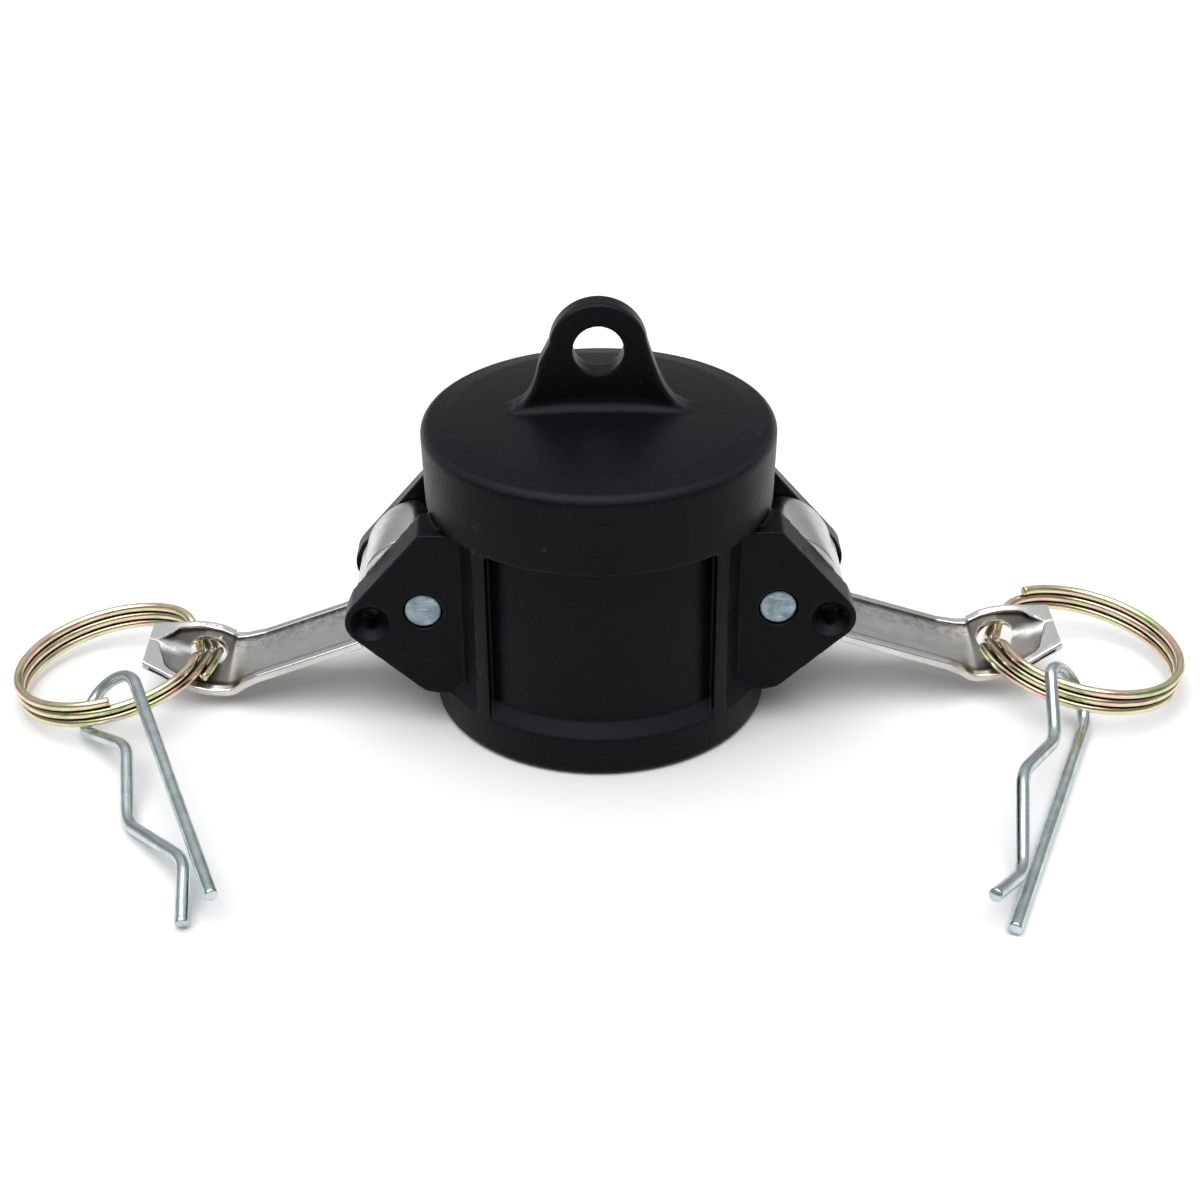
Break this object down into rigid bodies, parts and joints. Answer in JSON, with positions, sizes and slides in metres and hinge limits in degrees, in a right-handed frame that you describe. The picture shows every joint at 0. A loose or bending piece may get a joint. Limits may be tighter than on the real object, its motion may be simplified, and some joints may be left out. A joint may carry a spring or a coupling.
{
  "type": "camlock dust cap",
  "caption": "Black moulded camlock dust cap for a male adapter, with steel cam levers, split rings and hairpin safety clips, shown with its levers open.",
  "frame": {"origin": "centre of the closed end's inner face, which the adapter's end faces across the gasket", "axes": "+Z along the socket's axis towards the closed end and the lug, so the socket opens towards -Z; +X through the right lever's pin; -Y faces the viewer"},
  "size_m": [0.268, 0.1308, 0.095],
  "materials": {
    "cap_polymer": "black glass-filled polymer, fine moulded grain, satin, edges rubbed slightly paler",
    "gasket_rubber": "black nitrile rubber, matt",
    "lever_stainless": "pressed stainless steel, satin, tumbled, rims brighter than the web",
    "yellow_zinc_plate": "yellow passivated zinc plate with faint pink and green tints",
    "zinc_plate": "bright blue-white zinc plate with fine draw lines"
  },
  "bodies": {
    "cap": {"cap_body": "cap_polymer", "gasket": "gasket_rubber", "lever_pin_left": "zinc_plate", "lever_pin_right": "zinc_plate"},
    "left_lever": {"lever_left": "lever_stainless"},
    "right_lever": {"lever_right": "lever_stainless"},
    "left_ring": {"split_ring_left": "yellow_zinc_plate"},
    "right_ring": {"split_ring_right": "yellow_zinc_plate"},
    "left_clip": {"safety_clip_left": "zinc_plate"},
    "right_clip": {"safety_clip_right": "zinc_plate"}
  },
  "joints": [
    {"name": "left_lever_pivot", "type": "hinge", "parent": "cap", "child": "left_lever", "pos_m": [-0.0387, 0, -0.0306], "axis": [0, 1, 0], "range_deg": [0, 110]},
    {"name": "right_lever_pivot", "type": "hinge", "parent": "cap", "child": "right_lever", "pos_m": [0.0387, 0, -0.0306], "axis": [0, -1, 0], "range_deg": [0, 108]},
    {"name": "left_ring_swing", "type": "hinge", "parent": "left_lever", "child": "left_ring", "pos_m": [-0.09053, 0.00212, -0.05209], "axis": [0.96, 0, -0.28], "range_deg": [-90, 0]},
    {"name": "right_ring_swing", "type": "hinge", "parent": "right_lever", "child": "right_ring", "pos_m": [0.09125, 0.00212, -0.05026], "axis": [0.9507, 0, 0.3102], "range_deg": [-90, 0]},
    {"name": "left_clip_swing", "type": "hinge", "parent": "left_ring", "child": "left_clip", "pos_m": [-0.1084, -0.0219, -0.0522], "axis": [-0.9774, -0.1496, -0.1496], "range_deg": [-80, 80]},
    {"name": "right_clip_swing", "type": "hinge", "parent": "right_ring", "child": "right_clip", "pos_m": [0.1029, -0.0229, -0.0509], "axis": [-0.9173, 0.3689, 0.1496], "range_deg": [-80, 80]}
  ]
}
